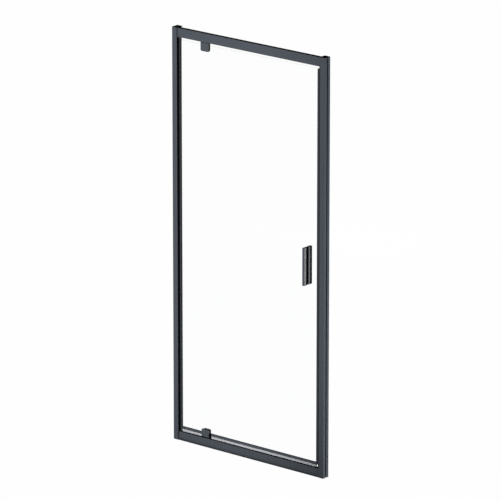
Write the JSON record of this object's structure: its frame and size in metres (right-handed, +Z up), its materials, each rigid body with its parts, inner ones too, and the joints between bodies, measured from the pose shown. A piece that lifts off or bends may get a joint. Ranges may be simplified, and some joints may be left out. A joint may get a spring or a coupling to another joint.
{
  "type": "pivot shower door",
  "caption": "Framed shower door: a glass leaf on top and bottom pivots, with clamps, seals, a back-to-back handle and a metal frame that fixes between two walls.",
  "frame": {"origin": "middle of the sill's underside, half way between the walls, in the middle plane of the glass", "axes": "+X across the doorway towards the handle side, +Y into the shower, +Z up"},
  "size_m": [0.9, 0.059, 2],
  "materials": {
    "frame_profile": "satin anthracite powder coat",
    "frame_cap": "moulded, matched to the coating",
    "black_plastic": "moulded",
    "handle_metal": "satin anthracite powder coat",
    "clamp_metal": "satin anthracite powder coat",
    "clear_glass": "clear toughened glass",
    "black_rubber": "extruded",
    "seal_profile": "dark extruded seal",
    "wiper": "translucent soft lip",
    "magnet_bar": "magnetic rubber",
    "bearing_plastic": "low-friction plastic",
    "pivot_casting": "as cast",
    "steel_fastener": "stainless steel"
  },
  "bodies": {
    "frame": {"wall_profile_left": "frame_profile", "wall_profile_right": "frame_profile", "stile_left": "frame_profile", "stile_right": "frame_profile", "bottom_rail": "frame_profile", "top_rail": "frame_profile", "top_cap_left": "frame_cap", "top_cap_right": "frame_cap", "rail_screws": "steel_fastener", "adjusting_screws": "steel_fastener", "adjusting_screw_caps": "black_plastic", "hinge_side_stop_seal": "black_rubber", "jamb_profile": "seal_profile", "jamb_magnet": "magnet_bar", "lower_pivot_block": "pivot_casting", "lower_pivot_block_screws": "steel_fastener", "lower_pivot_pin": "steel_fastener", "lower_thrust_washer": "bearing_plastic", "upper_pivot_block": "pivot_casting", "upper_pivot_block_screws": "steel_fastener", "upper_pivot_pin": "steel_fastener", "upper_thrust_washer": "bearing_plastic"},
    "door": {"glass_panel": "clear_glass", "hinge_edge_seal": "seal_profile", "closing_edge_seal": "seal_profile", "closing_edge_magnet": "magnet_bar", "bottom_carrier_short": "seal_profile", "bottom_carrier_long": "seal_profile", "bottom_wiper_short": "wiper", "bottom_wiper_long": "wiper", "handle_front_bar": "handle_metal", "handle_front_spacer": "black_plastic", "handle_back_bar": "handle_metal", "handle_back_cover": "black_plastic", "handle_pads": "black_rubber", "handle_sleeves": "black_plastic", "handle_screws": "steel_fastener", "lower_pivot_bush": "bearing_plastic", "lower_clamp_body": "clamp_metal", "lower_clamp_cover": "clamp_metal", "lower_clamp_screws": "steel_fastener", "lower_clamp_front_gasket": "black_rubber", "lower_clamp_back_gasket": "black_rubber", "upper_pivot_bush": "bearing_plastic", "upper_clamp_body": "clamp_metal", "upper_clamp_cover": "clamp_metal", "upper_clamp_screws": "steel_fastener", "upper_clamp_front_gasket": "black_rubber", "upper_clamp_back_gasket": "black_rubber"}
  },
  "joints": [
    {"name": "door_pivot", "type": "hinge", "parent": "frame", "child": "door", "pos_m": [-0.2575, 0, 1], "axis": [0, 0, -1], "range_deg": [0, 90]}
  ]
}
